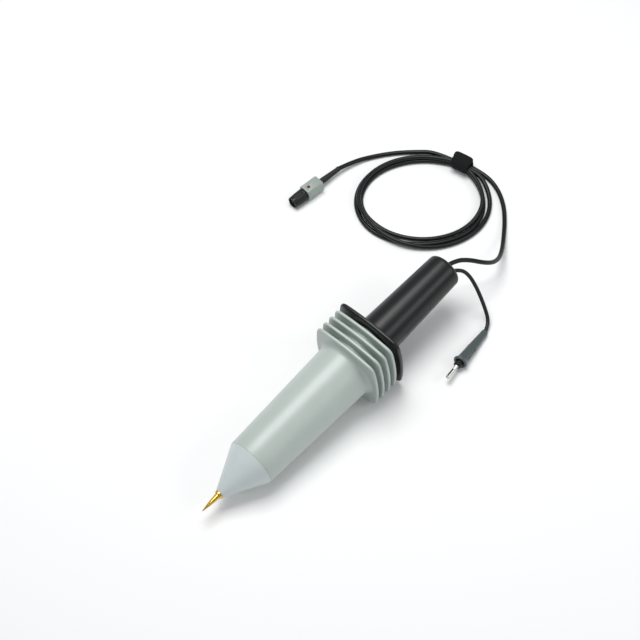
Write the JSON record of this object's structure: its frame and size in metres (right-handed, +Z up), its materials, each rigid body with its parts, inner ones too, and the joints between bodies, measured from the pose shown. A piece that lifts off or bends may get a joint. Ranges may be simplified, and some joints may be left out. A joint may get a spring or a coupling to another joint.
{
  "type": "oscilloscope probe",
  "caption": "High-voltage oscilloscope probe: finned barrel, pointed tip, handle, screened lead coiled to a bayonet plug with trimmer box, and earth lead with banana plug.",
  "frame": {"origin": "on the bench under the middle of the probe itself, its leads left out; the probe rests on the front edge of its barrel and on its first fin", "axes": "+X along the bench from the tip to the handle, +Z up, the probe's middle plane at y = 0"},
  "size_m": [0.5115, 0.2749, 0.0852],
  "materials": {
    "grey_barrel_plastic": "satin moulded, greenish light grey",
    "grey_cone_plastic": "satin moulded, a little bluer and lighter than the barrel",
    "black_handle_plastic": "satin moulded",
    "tip_brass": "turned and gold plated",
    "brass": "turned",
    "spring_steel": "drawn wire",
    "steel_screw": "zinc plated",
    "black_screw": "blackened steel",
    "white_ceramic": "unglazed",
    "clear_tube_plastic": "extruded",
    "aluminium_sheet": "rolled",
    "silicone": "poured and cured",
    "green_board": "glass and resin laminate",
    "red_film": "dipped",
    "black_rubber": "moulded",
    "lead_rubber": "extruded, satin",
    "earth_lead_silicone": "extruded, satin",
    "black_strap": "woven hook-and-loop tape",
    "grey_box_plastic": "moulded",
    "red_rotor": "moulded",
    "nickel_metal": "nickel plated brass",
    "white_insulator": "turned",
    "collar_black": "moulded",
    "dark_grip": "soft moulded, dark grey",
    "gold_contact": "gold plated"
  },
  "bodies": {
    "root": {"tip_socket": "brass", "nose_cone": "grey_cone_plastic", "nose_seal": "black_rubber", "barrel": "grey_barrel_plastic", "contact_spring": "spring_steel", "resistor_cap_front": "brass", "resistor_cap_rear": "brass", "hv_resistor": "white_ceramic", "resistor_tube": "clear_tube_plastic", "screen_sleeve": "aluminium_sheet", "silicone_fill": "silicone", "bulkhead": "grey_barrel_plastic", "divider_board": "green_board", "board_screws": "steel_screw", "divider_capacitors": "red_film", "lower_resistor": "white_ceramic", "screen_tube": "aluminium_sheet", "guard_gasket": "black_rubber", "handle_shell": "black_handle_plastic", "guard_screws": "black_screw", "rear_cap": "black_handle_plastic", "coax_grommet": "black_rubber", "earth_grommet": "black_rubber", "coax_inner_end": "lead_rubber", "earth_inner_end": "earth_lead_silicone", "lead_clamp": "black_handle_plastic", "clamp_screws": "steel_screw", "coax_lead": "lead_rubber", "coax_coil": "lead_rubber", "coil_strap": "black_strap", "coax_tail": "lead_rubber", "coax_boot": "black_rubber", "coax_plug_end": "lead_rubber", "box_lower": "grey_box_plastic", "box_upper": "grey_box_plastic", "box_screws": "steel_screw", "box_board": "green_board", "trimmer_base": "white_ceramic", "bnc_body": "nickel_metal", "bnc_nut": "nickel_metal", "bnc_sleeve": "nickel_metal", "bnc_insulator": "white_insulator", "bnc_pin": "gold_contact", "bnc_spring_washers": "spring_steel", "earth_lead": "earth_lead_silicone", "earth_grip": "dark_grip", "grip_inlays": "black_rubber", "earth_insulator": "collar_black", "earth_pin": "nickel_metal", "pin_spring": "spring_steel"},
    "tip": {"probe_tip": "tip_brass"},
    "trimmer": {"trimmer_rotor": "red_rotor"},
    "collar": {"bnc_collar": "collar_black"}
  },
  "joints": [
    {"name": "tip_unscrew", "type": "slide", "parent": "root", "child": "tip", "axis": [-0.9951, 0, -0.0985], "range_m": [0, 0.012]},
    {"name": "trimmer_turn", "type": "hinge", "parent": "root", "child": "trimmer", "pos_m": [0.17813, 0.19259, 0.0148], "axis": [0, 0, 1], "continuous": true},
    {"name": "collar_turn", "type": "hinge", "parent": "root", "child": "collar", "pos_m": [0.16327, 0.19373, 0.0074], "axis": [0.9971, -0.0767, 0], "continuous": true}
  ]
}
